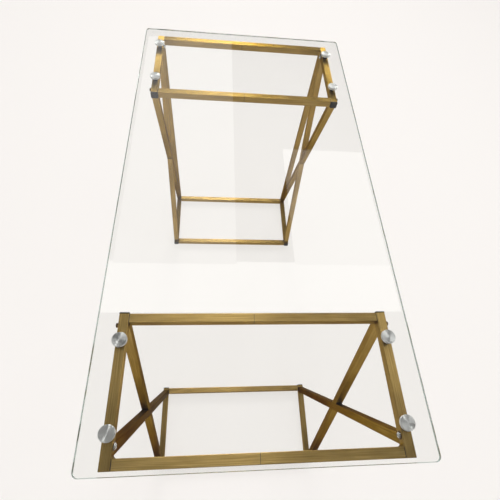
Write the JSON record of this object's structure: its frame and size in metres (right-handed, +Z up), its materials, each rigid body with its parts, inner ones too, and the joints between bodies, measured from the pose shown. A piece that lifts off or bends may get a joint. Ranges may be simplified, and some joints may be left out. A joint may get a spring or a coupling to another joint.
{
  "type": "glass-topped trestle table",
  "caption": "Clear rectangular glass table top held on steel disc standoffs above brass-coloured square-tube trestles with crossed braces in their sides.",
  "frame": {"origin": "on the floor under the middle of the top", "axes": "+X along the table's length, -Y towards the person who sits at it, +Z up"},
  "size_m": [1.04, 0.524, 0.73],
  "materials": {
    "clear_glass": "clear float glass with ground and polished edges",
    "antique_brass_tube": "steel tube with a lengthwise-brushed antique brass finish",
    "spun_steel": "turned steel with a fine spun face",
    "bright_steel": "polished steel screw and washer",
    "dark_bronze": "dark bronze coated steel bolt",
    "black_plastic": "moulded black polyethylene, satin"
  },
  "bodies": {
    "root": {"glass_top": "clear_glass", "left_back_bottom_cap": "black_plastic", "left_back_bottom_rail": "antique_brass_tube", "left_back_dome_screw": "bright_steel", "left_back_hex_bolt": "dark_bronze", "left_back_inner_standoff": "spun_steel", "left_back_long_brace": "antique_brass_tube", "left_back_lower_brace": "antique_brass_tube", "left_back_outer_standoff": "spun_steel", "left_back_post": "antique_brass_tube", "left_back_top_cap": "black_plastic", "left_back_top_rail": "antique_brass_tube", "left_back_upper_brace": "antique_brass_tube", "left_bottom_inner_bar": "antique_brass_tube", "left_bottom_outer_bar": "antique_brass_tube", "left_front_bottom_cap": "black_plastic", "left_front_bottom_rail": "antique_brass_tube", "left_front_dome_screw": "bright_steel", "left_front_hex_bolt": "dark_bronze", "left_front_inner_standoff": "spun_steel", "left_front_long_brace": "antique_brass_tube", "left_front_lower_brace": "antique_brass_tube", "left_front_outer_standoff": "spun_steel", "left_front_post": "antique_brass_tube", "left_front_top_cap": "black_plastic", "left_front_top_rail": "antique_brass_tube", "left_front_upper_brace": "antique_brass_tube", "left_top_inner_bar": "antique_brass_tube", "left_top_outer_bar": "antique_brass_tube", "right_back_bottom_cap": "black_plastic", "right_back_bottom_rail": "antique_brass_tube", "right_back_dome_screw": "bright_steel", "right_back_hex_bolt": "dark_bronze", "right_back_inner_standoff": "spun_steel", "right_back_long_brace": "antique_brass_tube", "right_back_lower_brace": "antique_brass_tube", "right_back_outer_standoff": "spun_steel", "right_back_post": "antique_brass_tube", "right_back_top_cap": "black_plastic", "right_back_top_rail": "antique_brass_tube", "right_back_upper_brace": "antique_brass_tube", "right_bottom_inner_bar": "antique_brass_tube", "right_bottom_outer_bar": "antique_brass_tube", "right_front_bottom_cap": "black_plastic", "right_front_bottom_rail": "antique_brass_tube", "right_front_dome_screw": "bright_steel", "right_front_hex_bolt": "dark_bronze", "right_front_inner_standoff": "spun_steel", "right_front_long_brace": "antique_brass_tube", "right_front_lower_brace": "antique_brass_tube", "right_front_outer_standoff": "spun_steel", "right_front_post": "antique_brass_tube", "right_front_top_cap": "black_plastic", "right_front_top_rail": "antique_brass_tube", "right_front_upper_brace": "antique_brass_tube", "right_top_inner_bar": "antique_brass_tube", "right_top_outer_bar": "antique_brass_tube"}
  },
  "joints": []
}
